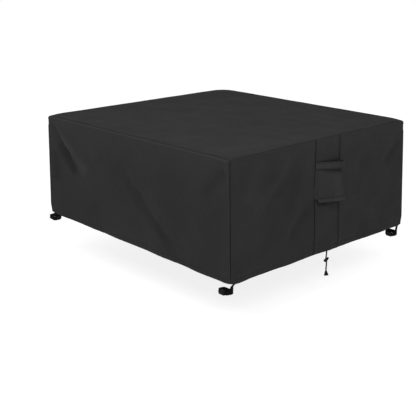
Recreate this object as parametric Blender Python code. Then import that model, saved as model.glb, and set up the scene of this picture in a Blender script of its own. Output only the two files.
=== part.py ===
"""Square patio furniture cover of coated cloth, in the box shape in which it hangs.

Metres, +Z up. The origin is the middle of the top panel's underside, which lies on what is covered.
The plain front is at -Y. The right side, at +X, has the air vent, the handle band and the draw cord.
"""
from collections import namedtuple
from math import cos, exp, pi, radians, sin

import bmesh
import bpy
from mathutils import Matrix, Vector

# Cover
WIDTH = 1.26
DROP = 0.535
FLARE = 0.012
HALF = WIDTH / 2
CLOTH = 0.002
TOP = CLOTH
EDGE_RADIUS = 0.012
SEAM_GAP = 0.0005
CELL = 0.055
TOP_CELL = 0.105
CORNER_CELLS = (0.035, 0.075)

# How the cloth hangs
SLACK = 0.004
TOP_SAG = 0.002
CORNER_DIP = 0.005
CORNER_DIP_SPREAD = 0.045
CORNER_DIP_FADE = 8
WAVE = 0.0025
WAVE_COUNTS = {"front": 5.0, "right": 4.2, "back": 4.6, "left": 5.4}
HEM_PULL = 0.005
HEM_PULL_HEIGHT = 0.05
HEM_LIFT = 0.009
HEM_LIFT_REACH = 0.045
HEM_LIFT_POWER = 5
LEFT_CORNER_RISE = 0.031
RIGHT_CORNER_DROP = 0.015
ASKEW = Vector((0.010, 0.009))
SEAM_FADE = 0.06

# Right side, measured from the middle of the side (Y) and from the top (Z)
STRIP_NEAR = -0.078
STRIP_FAR = 0.099
BAND_TOP = -0.100
BAND_HEIGHT = 0.034
BAND_THICKNESS = 0.0022
BAND_TILT = 0.015
HOOD_GAP = 0.0015
HOOD_BOTTOM = -0.291
HOOD_MARGIN_BOTTOM = -0.270
HOOD_STEP = (0.012, 0.028)
HOOD_FALL = 0.007
HOOD_PROUD = 0.035
HOOD_FIRST_SWELL = 0.28
HOOD_FIRST_SWELL_BY = 0.16
HOOD_SWELL_POWER = 0.8
HOOD_THICKNESS = 0.0016
ON_CLOTH = 0.0005
PLAN_POINTS = 27

# Leg straps
WEBBING_WIDTH = 0.020
WEBBING = 0.0015
LOOP_HALF_DEPTH = 0.020
LOOP_CORNER = 0.010
LOOP_TILT = radians(7)
TAB_RISE = 0.020
TAB_GAP = 0.0009
TAB_FROM_CORNER = 0.033
TAB_BENDS = (0.21, 0.47, 0.66)
TAB_BELOW = 0.010
TAB_POINTS = 12

# Buckle: length along the strap, height across it
BUCKLE_HALF = 0.016
BUCKLE_HEIGHT = 0.025
BUCKLE_BEVEL = 0.0012
SOCKET_DEPTH = 0.009
PLUG_DEPTH = 0.0078
MOUTH = 0.004
CLEAR = 0.0003
CAVITY_BACK = -0.0088
CAVITY_HALF_DEPTH = 0.0026
CAVITY_HALF_HEIGHT = 0.0086
WINDOWS = (-0.0078, -0.0004)
WEBBING_SLOT = (0.0110, 0.0138)
WEBBING_SLOT_HALF = 0.0106
PRONG_HALF_DEPTH = 0.0021
PRONG_ROOT = MOUTH + 0.002
GUIDE_TIP = -0.005
GUIDE_HALF = 0.0016
# Long enough to cut through any small part
THROUGH = 0.02

# Draw cord and what is on it
CORD = 0.0034
CORD_PITCH = 0.0042
CORD_X = 0.646
CORD_Y = 0.026
CORD_BOTTOM = DROP + 0.109
CORD_END_SHIFT = 0.0032
CORD_POINTS = 28
LOCK_Z = -(DROP + 0.0505)
LOCK_TILT = radians(20)
LOCK_REACH = 0.0085
BARREL_RADIUS = 0.007
BARREL_LOW = -0.0125
BARREL_HIGH = 0.0075
BORE_RADIUS = 0.0045
BORE_LOW = -0.0109
STEM_RADIUS = 0.0042
STEM_LOW = -0.0066
HEAD_RADIUS = 0.0052
HEAD_LOW = 0.0113
HEAD_HIGH = 0.0155
CORD_HOLE = (0.0044, 0.0084)
PRESS = 0.0035
BEVEL = 0.0015
ROUND_SIDES = 20
END_HEIGHT = 0.021
END_TOP = (0.010, 0.0075)
END_BOTTOM = (0.021, 0.0105)
END_TURN = radians(-38)
END_LEAN = radians(7)

UP = Vector((0, 0, 1))
Side = namedtuple("Side", "along outward")
SIDES = {
    "front": Side(Vector((1, 0, 0)), Vector((0, -1, 0))),
    "right": Side(Vector((0, 1, 0)), Vector((1, 0, 0))),
    "back": Side(Vector((-1, 0, 0)), Vector((0, 1, 0))),
    "left": Side(Vector((0, -1, 0)), Vector((-1, 0, 0))),
}

# Folds, each a soft ridge (rise above 0) or trough (below 0) from start to end, both as (along, z)
Fold = namedtuple("Fold", "side start end half_width rise")
FOLDS = (
    Fold("front", (-0.59, -0.06), (-0.48, -0.18), 0.055, -0.007),
    Fold("front", (-0.48, -0.18), (-0.37, -0.23), 0.055, -0.006),
    Fold("front", (-0.49, -0.05), (-0.34, -0.16), 0.050, 0.007),
    Fold("front", (-0.05, -0.18), (0.06, -0.28), 0.060, -0.008),
    Fold("front", (0.06, -0.28), (0.32, -0.46), 0.065, -0.009),
    Fold("front", (0.16, -0.26), (0.36, -0.40), 0.060, 0.006),
    Fold("front", (0.60, -0.06), (0.50, -0.18), 0.055, -0.006),
    Fold("right", (-0.28, -0.02), (-0.35, -0.11), 0.050, 0.008),
    Fold("right", (-0.35, -0.11), (-0.49, -0.24), 0.055, 0.009),
    Fold("right", (-0.19, -0.07), (-0.27, -0.25), 0.065, -0.010),
    Fold("right", (-0.11, -0.30), (-0.22, -0.38), 0.060, -0.006),
    Fold("right", (0.60, -0.06), (0.49, -0.16), 0.055, -0.006),
    Fold("right", (0.28, -0.16), (0.40, -0.36), 0.080, -0.005),
    Fold("back", (-0.58, -0.07), (-0.42, -0.22), 0.060, -0.006),
    Fold("back", (0.05, -0.16), (0.30, -0.42), 0.070, -0.009),
    Fold("back", (0.16, -0.14), (0.38, -0.36), 0.060, 0.006),
    Fold("left", (0.56, -0.07), (0.38, -0.24), 0.060, -0.007),
    Fold("left", (-0.06, -0.20), (-0.32, -0.45), 0.070, -0.009),
    Fold("left", (-0.17, -0.17), (-0.40, -0.38), 0.060, 0.006),
)

# Plan of the handle band, as (distance past the near seam, out), and of the vent hood, with out as a share
# of how far it stands off
BAND_PLAN = (
    (-0.002, 0.0), (0.011, 0.0), (0.035, 0.004), (0.085, 0.012), (0.135, 0.0215), (0.170, 0.0265),
    (0.1820, 0.0230), (0.1850, 0.0150), (0.1825, 0.0065), (0.1730, 0.0), (0.1590, 0.0),
)
HOOD_PLAN = (
    (-0.003, 0.0), (0.013, 0.0), (0.030, 0.08), (0.065, 0.32), (0.105, 0.62), (0.140, 0.86),
    (0.167, 0.99), (0.178, 1.0), (0.182, 0.93), (0.1835, 0.50), (0.185, 0.06), (0.189, 0.0), (0.197, 0.0),
)

# Leg straps: centre of the loop, the side its tab hangs from and the side of the loop its buckle is on
Strap = namedtuple("Strap", "corner centre tab_side buckle_side")
STRAPS = (
    Strap("near", Vector((0.599, -0.609, -0.580)), "right", "front"),
    Strap("left", Vector((-0.6215, -0.610, -0.531)), "front", "right"),
    Strap("right", Vector((0.612, 0.618, -0.594)), "right", "front"),
    Strap("back", Vector((-0.592, 0.615, -0.580)), "left", "back"),
)

# Prongs of the plug and their shoulders, as (tip, root, inner, outer): along the strap, then across it
PRONGS = ((-0.0074, PRONG_ROOT, 0.0042, 0.0080), (-0.0074, -0.0030, 0.0070, 0.0112))

# Middle of the draw cord above and below its lock, as (y from its place, z from the hem's nominal height)
CORD_ABOVE = ((0.0, -0.016), (-0.0012, -0.033))
CORD_BELOW = ((0.0036, -0.077), (0.0024, -0.093))

# Points between each two given ones when a curve is laid through them
CURVE_STEPS = 24


def clear_scene():
    for thing in list(bpy.data.objects):
        bpy.data.objects.remove(thing, do_unlink=True)


def material(name, colour, roughness, metallic=0.0):
    made = bpy.data.materials.new(name)
    made.use_nodes = True
    shader = made.node_tree.nodes["Principled BSDF"]
    shader.inputs["Base Color"].default_value = (*colour, 1.0)
    shader.inputs["Roughness"].default_value = roughness
    shader.inputs["Metallic"].default_value = metallic
    return made


def smoothstep(low, high, value):
    share = min(max((value - low) / (high - low), 0.0), 1.0)
    return share * share * (3 - 2 * share)


def stations(first, last, cell):
    """Evenly spread places from first to last, about a cell apart."""
    count = max(1, round(abs(last - first) / cell))
    return [first + (last - first) * i / count for i in range(count + 1)]


def edge_stations():
    """Places that turn a rounded edge, as distances from its corner."""
    return [SEAM_GAP / 2, EDGE_RADIUS / 2, EDGE_RADIUS]


def smooth_curve(points, count):
    """Count points at even steps of a Catmull-Rom curve through the given ones."""
    points = [Vector(p) for p in points]
    ends = [2 * points[0] - points[1], *points, 2 * points[-1] - points[-2]]
    fine = []
    for i in range(1, len(ends) - 2):
        a, b, c, d = ends[i - 1:i + 3]
        for k in range(CURVE_STEPS):
            t = k / CURVE_STEPS
            fine.append(0.5 * ((2 * b) + (c - a) * t + (2 * a - 5 * b + 4 * c - d) * t ** 2
                               + (3 * b - 3 * c + d - a) * t ** 3))
    fine.append(points[-1])
    run = [0.0]
    for first, second in zip(fine, fine[1:]):
        run.append(run[-1] + (second - first).length)
    curve = []
    k = 0
    for i in range(count):
        goal = run[-1] * i / (count - 1)
        while k < len(fine) - 2 and run[k + 1] < goal:
            k += 1
        share = (goal - run[k]) / (run[k + 1] - run[k])
        curve.append(fine[k].lerp(fine[k + 1], share))
    return curve


def add_object(name, mesh, skin, smooth_angle=radians(35)):
    mesh.materials.clear()
    mesh.materials.append(skin)
    mesh.shade_smooth()
    mesh.set_sharp_from_angle(angle=smooth_angle)
    thing = bpy.data.objects.new(name, mesh)
    bpy.context.collection.objects.link(thing)
    return thing


def mesh_from(bm, name):
    mesh = bpy.data.meshes.new(name)
    bm.to_mesh(mesh)
    bm.free()
    return mesh


def slab(name, us, vs, place, skin):
    """A flat slab with a cell between each two stations, bent into shape by place(u, v, layer)."""
    bm = bmesh.new()
    bmesh.ops.create_grid(bm, x_segments=len(us) - 1, y_segments=len(vs) - 1, size=1.0)
    bmesh.ops.solidify(bm, geom=bm.faces[:], thickness=1.0)
    for vert in bm.verts:
        column = round((vert.co.x + 1) / 2 * (len(us) - 1))
        row = round((vert.co.y + 1) / 2 * (len(vs) - 1))
        layer = round(abs(vert.co.z))
        vert.co = place(us[column], vs[row], layer)
    if bm.calc_volume(signed=True) < 0:
        bmesh.ops.reverse_faces(bm, faces=bm.faces[:])
    return add_object(name, mesh_from(bm, name), skin)


# How the cloth hangs


def fold_height(side, along, z):
    """Height of all the folds of a side at one place: each is a rounded bank along its line."""
    here = Vector((along, z))
    height = 0.0
    for fold in FOLDS:
        if fold.side != side:
            continue
        start, end = Vector(fold.start), Vector(fold.end)
        line = end - start
        share = min(max((here - start).dot(line) / line.length_squared, 0.0), 1.0)
        away = (here - start - line * share).length / fold.half_width
        if away < 1.0:
            height += fold.rise * (1 - away ** 2) ** 2
    return height


def side_height(side, along, z):
    """How far a side stands out of its flat plane, none at its two upright seams."""
    depth = -z / DROP
    seam = smoothstep(0.0, SEAM_FADE, HALF - abs(along)) * smoothstep(0.0, SEAM_FADE, -z)
    slack = -SLACK * cos(pi * along / WIDTH) * smoothstep(0.0, 0.6, depth)
    wave = WAVE * depth ** 2 * sin(2 * pi * WAVE_COUNTS[side] * (along / WIDTH + 0.5))
    pull = -HEM_PULL * smoothstep(DROP - HEM_PULL_HEIGHT, DROP, -z)
    return seam * (fold_height(side, along, z) + wave) + slack + pull


def top_height(x, y):
    """The top dips a little between its edges, but not in the middle, where it lies flat."""
    dip = sin(2 * pi * x / WIDTH) ** 2 * cos(pi * y / WIDTH) ** 2
    dip += sin(2 * pi * y / WIDTH) ** 2 * cos(pi * x / WIDTH) ** 2
    return -TOP_SAG * dip


def settle(point, outward, half):
    """Corners dip, and the hem hangs askew, higher at the left corner, lower at the right, curled up at each."""
    x, y, z = point
    depth = min(max(-z / DROP, 0.0), 1.0)
    from_corner = Vector((half - abs(x), half - abs(y))).length
    z -= CORNER_DIP * exp(-(from_corner / CORNER_DIP_SPREAD) ** 2) * exp(-depth * CORNER_DIP_FADE)
    z += LEFT_CORNER_RISE * depth * (HALF - x) / WIDTH * (HALF - y) / WIDTH
    z -= RIGHT_CORNER_DROP * depth * (HALF + x) / WIDTH * (HALF + y) / WIDTH
    curl = max(0.0, 1 - from_corner / HEM_LIFT_REACH)
    z += HEM_LIFT * curl ** 2 * depth ** HEM_LIFT_POWER
    return Vector((x + ASKEW.x * depth, y + ASKEW.y * depth, z)), outward


def drape(side, along, z):
    """Outer face of the cloth at one place of a panel, and the direction out of it there."""
    if side == "top":
        sharp = Vector((along, z, TOP))
        height = top_height(along, z)
        half = HALF
    else:
        half = HALF + FLARE * max(-z, 0.0) / DROP
        sharp = (SIDES[side].outward * HALF + SIDES[side].along * along) * half / HALF + UP * z
        height = side_height(side, along, z)
    flat = half - EDGE_RADIUS
    core = Vector((
        min(max(sharp.x, -flat), flat),
        min(max(sharp.y, -flat), flat),
        min(sharp.z, TOP - EDGE_RADIUS),
    ))
    outward = (sharp - core).normalized()
    return settle(core + outward * (EDGE_RADIUS + height), outward, half)


def cloth_place(side):
    def place(along, z, layer):
        point, outward = drape(side, along, z)
        return point - outward * CLOTH * layer
    return place


# Panels


def down_stations():
    turned = [TOP - inset for inset in edge_stations()]
    plain = stations(TOP - EDGE_RADIUS, -DROP + HEM_PULL_HEIGHT, CELL)
    return turned + plain[1:] + stations(-DROP + HEM_PULL_HEIGHT, -DROP, HEM_PULL_HEIGHT / 3)[1:]


def across_stations(first, last, cell=CELL):
    """Places across a panel. Near a corner they are the same on each panel, so that seams meet."""
    corner = [*edge_stations(), *CORNER_CELLS]
    before = [-HALF + away for away in corner] if first == -HALF else [first + SEAM_GAP / 2]
    after = [HALF - away for away in reversed(corner)] if last == HALF else [last - SEAM_GAP / 2]
    return before[:-1] + stations(before[-1], after[0], cell) + after[1:]


def make_panels(skin):
    square = across_stations(-HALF, HALF, TOP_CELL)
    slab("top_panel", square, square, cloth_place("top"), skin)
    for side in ("front", "back", "left"):
        slab(side + "_panel", across_stations(-HALF, HALF), down_stations(), cloth_place(side), skin)
    cuts = (
        ("right_panel_near", -HALF, STRIP_NEAR),
        ("vent_strip", STRIP_NEAR, STRIP_FAR),
        ("right_panel_far", STRIP_FAR, HALF),
    )
    for name, first, last in cuts:
        slab(name, across_stations(first, last), down_stations(), cloth_place("right"), skin)


# Pieces sewn over the right side


def plan_place(plan, thickness, height_at, top_at, bottom_at):
    """Shape of a strip from its plan, its upper and lower edges given for each y."""
    last = len(plan) - 1

    def place(index, share, layer):
        past_seam, out = plan[index]
        y = STRIP_NEAR + past_seam
        before, after = plan[max(index - 1, 0)], plan[min(index + 1, last)]
        stand = height_at(share)
        run_y, run_out = after[0] - before[0], (after[1] - before[1]) * stand
        across = Vector((run_y, -run_out, 0)).normalized()
        z = top_at(y) * (1 - share) + bottom_at(y) * share
        middle = drape("right", y, z)[0] + Vector((ON_CLOTH + thickness / 2 + out * stand, 0, 0))
        return middle + across * thickness * (0.5 - layer)

    return place


def band_edge(y):
    """Upper edge of the handle band, which slopes down toward its far end."""
    first, last = STRIP_NEAR, STRIP_FAR
    return BAND_TOP - BAND_TILT * min(max((y - first) / (last - first), 0.0), 1.0)


def make_handle_band(skin):
    plan = smooth_curve(BAND_PLAN, PLAN_POINTS)
    place = plan_place(plan, BAND_THICKNESS, lambda share: 1.0, band_edge, lambda y: band_edge(y) - BAND_HEIGHT)
    slab("handle_band", range(len(plan)), stations(0.0, 1.0, 0.5), place, skin)


def hood_swell(share):
    """How far the hood stands off at a share of its height: it fills fast below its top seam."""
    first = HOOD_FIRST_SWELL * smoothstep(0.0, HOOD_FIRST_SWELL_BY, share)
    return HOOD_PROUD * (first + (1 - HOOD_FIRST_SWELL) * share ** HOOD_SWELL_POWER)


def hood_bottom(y):
    """Lower edge of the hood: short on its sewn margin, then a little longer toward its far end."""
    step = smoothstep(STRIP_NEAR + HOOD_STEP[0], STRIP_NEAR + HOOD_STEP[1], y)
    fall = HOOD_FALL * min(max((y - STRIP_NEAR) / (STRIP_FAR - STRIP_NEAR), 0.0), 1.0)
    return HOOD_MARGIN_BOTTOM + (HOOD_BOTTOM - HOOD_MARGIN_BOTTOM) * step - fall


def make_vent_hood(skin):
    scaled = smooth_curve([(y, out * HOOD_PROUD) for y, out in HOOD_PLAN], PLAN_POINTS)
    plan = [(y, out / HOOD_PROUD) for y, out in scaled]
    place = plan_place(plan, HOOD_THICKNESS, hood_swell, lambda y: band_edge(y) - BAND_HEIGHT - HOOD_GAP,
                       hood_bottom)
    slab("vent_hood", range(len(plan)), stations(0.0, 1.0, 0.125), place, skin)


# Leg straps


def ribbon(name, path, across, width, thickness, skin):
    """Webbing along a path, its width along across and its thickness square to both."""
    last = len(path) - 1

    def place(index, share, layer):
        tangent = (path[min(index + 1, last)] - path[max(index - 1, 0)]).normalized()
        return path[index] + across * width * share + tangent.cross(across) * thickness * (0.5 - layer)

    return slab(name, range(len(path)), (-0.5, 0.5), place, skin)


def loop_path():
    """Open square round a leg, in plan, from one end of the buckle to the other. The buckle is at +Y."""
    reach = BUCKLE_HALF + CLEAR
    depth = LOOP_HALF_DEPTH
    turns = 4
    path = [Vector((reach, depth, 0))]
    corners = ((reach, depth - LOOP_CORNER, 90), (reach, -depth + LOOP_CORNER, 0),
               (-reach, -depth + LOOP_CORNER, -90), (-reach, depth - LOOP_CORNER, -180))
    for x, y, start in corners:
        for i in range(turns + 1):
            angle = radians(start - 90 * i / turns)
            path.append(Vector((x + LOOP_CORNER * cos(angle), y + LOOP_CORNER * sin(angle), 0)))
    path.append(Vector((-reach, depth, 0)))
    tidy = [path[0]]
    for point in path[1:]:
        if (point - tidy[-1]).length > CLEAR:
            tidy.append(point)
    return tidy


def box_mesh(name, low, high, bevel=0.0):
    """A box between two corners, its edges broken by a small bevel."""
    low, high = Vector(low), Vector(high)
    bm = bmesh.new()
    bmesh.ops.create_cube(bm, size=1.0)
    bmesh.ops.scale(bm, vec=high - low, verts=bm.verts)
    bmesh.ops.translate(bm, vec=(low + high) / 2, verts=bm.verts)
    if bevel:
        bmesh.ops.bevel(bm, geom=bm.edges[:], offset=bevel, segments=1, affect="EDGES")
    return mesh_from(bm, name)


def turned_mesh(name, low, high, radius, bevel=0.0):
    """A short rod along Z with broken edges."""
    bm = bmesh.new()
    bmesh.ops.create_cone(bm, cap_ends=True, segments=ROUND_SIDES, radius1=radius, radius2=radius, depth=high - low)
    bmesh.ops.translate(bm, vec=(0, 0, (low + high) / 2), verts=bm.verts)
    if bevel:
        rims = [edge for edge in bm.edges if abs(edge.verts[0].co.z - edge.verts[1].co.z) < 1e-6]
        bmesh.ops.bevel(bm, geom=rims, offset=bevel, segments=2, profile=0.5, affect="EDGES")
    return mesh_from(bm, name)


def worked_mesh(name, base, joined=(), cut=()):
    """The base mesh with others joined to it and then cut from it."""
    body = bpy.data.objects.new(name, base)
    bpy.context.collection.objects.link(body)
    helpers = []
    for meshes, operation in ((joined, "UNION"), (cut, "DIFFERENCE")):
        for mesh in meshes:
            helper = bpy.data.objects.new(name + "_helper", mesh)
            bpy.context.collection.objects.link(helper)
            helpers.append(helper)
            boolean = body.modifiers.new(operation.title(), "BOOLEAN")
            boolean.operation = operation
            boolean.solver = "EXACT"
            boolean.object = helper
    bpy.context.view_layer.update()
    seen = body.evaluated_get(bpy.context.evaluated_depsgraph_get())
    result = bpy.data.meshes.new_from_object(seen)
    result.name = name
    for helper in (body, *helpers):
        bpy.data.objects.remove(helper, do_unlink=True)
    return result


def socket_mesh():
    """Socket of the buckle: hollow toward its mouth at +X, a window above and below, a webbing slot behind."""
    half, depth = BUCKLE_HEIGHT / 2, SOCKET_DEPTH / 2
    hollow, height = CAVITY_HALF_DEPTH, CAVITY_HALF_HEIGHT
    near, far = WEBBING_SLOT
    return worked_mesh(
        "buckle_socket", box_mesh("body", (-BUCKLE_HALF, -depth, -half), (MOUTH, depth, half), BUCKLE_BEVEL),
        cut=(
            box_mesh("cavity", (CAVITY_BACK, -hollow, -height), (THROUGH, hollow, height)),
            box_mesh("windows", (WINDOWS[0], -hollow, -THROUGH), (WINDOWS[1], hollow, THROUGH)),
            box_mesh("slot", (-far, -THROUGH, -WEBBING_SLOT_HALF), (-near, THROUGH, WEBBING_SLOT_HALF)),
        ),
    )


def plug_mesh():
    """Plug of the buckle: a base with a webbing slot, a guide and two prongs whose shoulders fill the windows."""
    half, depth, prong = BUCKLE_HEIGHT / 2, PLUG_DEPTH / 2, PRONG_HALF_DEPTH
    near, far = WEBBING_SLOT
    base = box_mesh("base", (MOUTH + CLEAR, -depth, -half), (BUCKLE_HALF, depth, half), BUCKLE_BEVEL)
    joined = [box_mesh("guide", (GUIDE_TIP, -prong, -GUIDE_HALF), (PRONG_ROOT, prong, GUIDE_HALF))]
    for way in (-1, 1):
        for tip, root, inner, outer in PRONGS:
            low, high = sorted((way * inner, way * outer))
            joined.append(box_mesh("prong", (tip, -prong, low), (root, prong, high)))
    slot = box_mesh("slot", (near, -THROUGH, -WEBBING_SLOT_HALF), (far, THROUGH, WEBBING_SLOT_HALF))
    return worked_mesh("buckle_plug", base, joined, (slot,))


def empty(name, matrix):
    holder = bpy.data.objects.new(name, None)
    bpy.context.collection.objects.link(holder)
    holder.matrix_world = matrix
    return holder


def tab_along(strap):
    """Where the tab is along its side: at the loop, but clear of the rounded corner."""
    reach = HALF - TAB_FROM_CORNER
    at_loop = SIDES[strap.tab_side].along.dot(strap.centre - ASKEW.to_3d())
    return min(max(at_loop, -reach), reach)


def make_tab(strap, skin):
    """Webbing sewn inside the hem, which steps in to the loop and runs down its face."""
    side = SIDES[strap.tab_side]
    along = tab_along(strap)
    half_loop = BUCKLE_HALF + CLEAR + LOOP_CORNER
    on_loop = side.outward.dot(strap.centre) + half_loop + WEBBING + CLEAR
    path = []
    for z in (-DROP + TAB_RISE, -DROP + TAB_RISE / 2, -DROP):
        path.append(drape(strap.tab_side, along, z)[0] - side.outward * (CLOTH + TAB_GAP + WEBBING / 2))
    hem = path[-1].copy()
    drop = hem.z - strap.centre.z
    between = (on_loop + hem.dot(side.outward)) / 2
    falls = (*(share * drop for share in TAB_BENDS), drop + TAB_BELOW)
    for out, fall in zip((between, on_loop + CLEAR, on_loop, on_loop), falls):
        path.append(side.outward * out + side.along * hem.dot(side.along) + UP * (hem.z - fall))
    ribbon("strap_tab_" + strap.corner, smooth_curve(path, TAB_POINTS), side.along, WEBBING_WIDTH, WEBBING, skin)


def make_straps(webbing, plastic):
    socket, plug, path = socket_mesh(), plug_mesh(), loop_path()
    for strap in STRAPS:
        tab_side = SIDES[strap.tab_side]
        turn = -Vector((0, 1)).angle_signed(SIDES[strap.buckle_side].outward.to_2d())
        raised = tab_side.along.dot(strap.centre) > 0
        tilt = LOOP_TILT if raised else -LOOP_TILT
        place = Matrix.Translation(strap.centre)
        place = place @ Matrix.Rotation(tilt, 4, tab_side.outward) @ Matrix.Rotation(turn, 4, "Z")
        holder = empty("strap_" + strap.corner, place)
        loop = ribbon("strap_loop_" + strap.corner, path, UP, WEBBING_WIDTH, WEBBING, webbing)
        halves = [add_object(f"buckle_{part}_{strap.corner}", mesh, plastic)
                  for part, mesh in (("socket", socket), ("plug", plug))]
        for thing in halves:
            thing.location = (0, LOOP_HALF_DEPTH, 0)
        for thing in (loop, *halves):
            thing.parent = holder
        make_tab(strap, webbing)


# Draw cord


def cord_middle():
    """Points that the middle of the two strands passes, slanted where they cross the tilted lock."""
    hem = drape("right", CORD_Y - ASKEW.y, -DROP)[0].z
    through = Vector((0, sin(LOCK_TILT), -cos(LOCK_TILT)))
    lock = Vector((CORD_X, CORD_Y, LOCK_Z))
    points = [Vector((CORD_X, CORD_Y, hem - CLEAR))]
    points += [Vector((CORD_X, CORD_Y + dy, dz - DROP)) for dy, dz in CORD_ABOVE]
    points += [lock + through * step for step in (-LOCK_REACH, 0.0, LOCK_REACH)]
    points += [Vector((CORD_X, CORD_Y + dy, dz - DROP)) for dy, dz in CORD_BELOW]
    points.append(Vector((CORD_X, CORD_Y + CORD_END_SHIFT, -CORD_BOTTOM)))
    return points


def make_strand(name, shift, skin):
    points = smooth_curve([point + Vector((0, shift, 0)) for point in cord_middle()], CORD_POINTS)
    data = bpy.data.curves.new(name, "CURVE")
    data.dimensions = "3D"
    data.bevel_depth = CORD / 2
    data.bevel_resolution = 2
    data.use_fill_caps = True
    spline = data.splines.new("POLY")
    spline.points.add(len(points) - 1)
    for knot, point in zip(spline.points, points):
        knot.co = (*point, 1.0)
    data.materials.append(skin)
    strand = bpy.data.objects.new(name, data)
    bpy.context.collection.objects.link(strand)


def make_lock(plastic):
    """Barrel with a cross hole for both strands, and the push button whose slotted stem rides in its bore."""
    across, along = CORD_HOLE[0] / 2, CORD_HOLE[1] / 2
    barrel = worked_mesh(
        "lock_barrel", turned_mesh("body", BARREL_LOW, BARREL_HIGH, BARREL_RADIUS, BEVEL),
        cut=(
            turned_mesh("bore", BORE_LOW, THROUGH, BORE_RADIUS),
            box_mesh("cord_hole", (-across, -THROUGH, -along), (across, THROUGH, along)),
        ),
    )
    button = worked_mesh(
        "lock_button", turned_mesh("stem", STEM_LOW, HEAD_LOW + BEVEL, STEM_RADIUS),
        joined=(turned_mesh("head", HEAD_LOW, HEAD_HIGH, HEAD_RADIUS, BEVEL),),
        cut=(box_mesh("slot", (-across, -THROUGH, -along - CLEAR), (across, THROUGH, along + PRESS + CLEAR)),),
    )
    place = Matrix.Translation((CORD_X, CORD_Y, LOCK_Z)) @ Matrix.Rotation(LOCK_TILT - pi / 2, 4, "X")
    holder = empty("cord_lock", place)
    for name, mesh in (("lock_barrel", barrel), ("lock_button", button)):
        add_object(name, mesh, plastic).parent = holder


def make_cord_end(plastic):
    """Flat tapered end in which both strands are held."""
    bm = bmesh.new()
    bmesh.ops.create_cube(bm, size=1.0)
    for vert in bm.verts:
        width, depth = END_TOP if vert.co.z > 0 else END_BOTTOM
        vert.co = Vector((vert.co.x * depth, vert.co.y * width, (vert.co.z - 0.5) * END_HEIGHT))
    bmesh.ops.bevel(bm, geom=bm.edges[:], offset=BEVEL, segments=2, profile=0.5, affect="EDGES")
    end = add_object("cord_end", mesh_from(bm, "cord_end"), plastic)
    end.location = (CORD_X, CORD_Y + CORD_END_SHIFT, -CORD_BOTTOM - 2 * CLEAR)
    end.rotation_euler = (END_LEAN, 0, END_TURN)


def main():
    clear_scene()
    cloth = material("charcoal_cloth", (0.032, 0.032, 0.033), 0.75)
    webbing = material("black_webbing", (0.015, 0.015, 0.016), 0.7)
    plastic = material("black_plastic", (0.012, 0.012, 0.012), 0.4)
    cord = material("black_cord", (0.013, 0.013, 0.013), 0.65)
    make_panels(cloth)
    make_handle_band(cloth)
    make_vent_hood(cloth)
    make_straps(webbing, plastic)
    for name, way in (("cord_strand_a", -1), ("cord_strand_b", 1)):
        make_strand(name, way * CORD_PITCH / 2, cord)
    make_lock(plastic)
    make_cord_end(plastic)


main()
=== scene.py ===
# %% [markdown]
# # A square outdoor cover
# A cover like this is cut from coated polyester: one square top, three plain sides and a fourth side that
# is sewn from three widths, with an air vent and a handle on the middle one. Webbing loops hang under its
# four corners, and a draw cord leaves the hem. It is shown empty, in the box shape that it takes in use.
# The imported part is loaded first. It is the frame that every piece below must fit.

# %% Load the frame
import random
from math import cos, pi, radians, sin

import bpy
import numpy as np
from mathutils import Matrix, Vector


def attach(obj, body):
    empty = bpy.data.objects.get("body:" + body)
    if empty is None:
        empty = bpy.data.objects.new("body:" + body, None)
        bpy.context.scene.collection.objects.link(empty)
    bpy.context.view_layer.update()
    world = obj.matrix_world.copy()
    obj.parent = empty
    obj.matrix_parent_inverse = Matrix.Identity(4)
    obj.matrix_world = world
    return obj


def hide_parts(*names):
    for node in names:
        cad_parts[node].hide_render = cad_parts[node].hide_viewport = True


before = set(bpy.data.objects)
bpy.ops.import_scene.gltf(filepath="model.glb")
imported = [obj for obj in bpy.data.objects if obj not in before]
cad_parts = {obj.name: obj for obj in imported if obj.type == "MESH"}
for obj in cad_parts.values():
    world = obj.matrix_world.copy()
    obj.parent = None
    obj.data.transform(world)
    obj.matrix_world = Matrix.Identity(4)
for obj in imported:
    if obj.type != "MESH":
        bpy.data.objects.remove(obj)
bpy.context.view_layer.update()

# %% [markdown]
# ## Camera
# The photo was taken from a little above, at the corner between the plain front and the side with the
# vent. The place and the turns below came from fitting the box's corners to the picture, and a small
# roll is part of that fit. No shift is used, so the object stays in the middle of every other view.

# %% Camera
CAMERA_PLACE = Vector((2.95516, -3.08492, 0.83269))
CAMERA_YAW = 2.35421
CAMERA_PITCH = -0.29675
CAMERA_ROLL = 0.01353
CAMERA_LENS = 75.059
SENSOR_WIDTH = 36.0

forward = Vector((cos(CAMERA_PITCH) * cos(CAMERA_YAW), cos(CAMERA_PITCH) * sin(CAMERA_YAW),
                  sin(CAMERA_PITCH)))
bpy.ops.object.camera_add(location=CAMERA_PLACE)
camera = bpy.context.active_object
camera.name = "camera"
turn = forward.to_track_quat("-Z", "Y").to_matrix() @ Matrix.Rotation(CAMERA_ROLL, 3, "Z")
camera.rotation_euler = turn.to_euler()
camera.data.lens = CAMERA_LENS
camera.data.sensor_width = SENSOR_WIDTH
bpy.context.scene.camera = camera
print("camera at", tuple(camera.location), "lens", camera.data.lens)

# %% [markdown]
# ## Measures of the cover
# The sheets of cloth below lie on the folds of the solid part, so they start from the same measures, in
# metres: how wide the cover is, how far it drops, how much its sides lean out, and where the middle
# width of the fourth side begins and ends.

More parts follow.
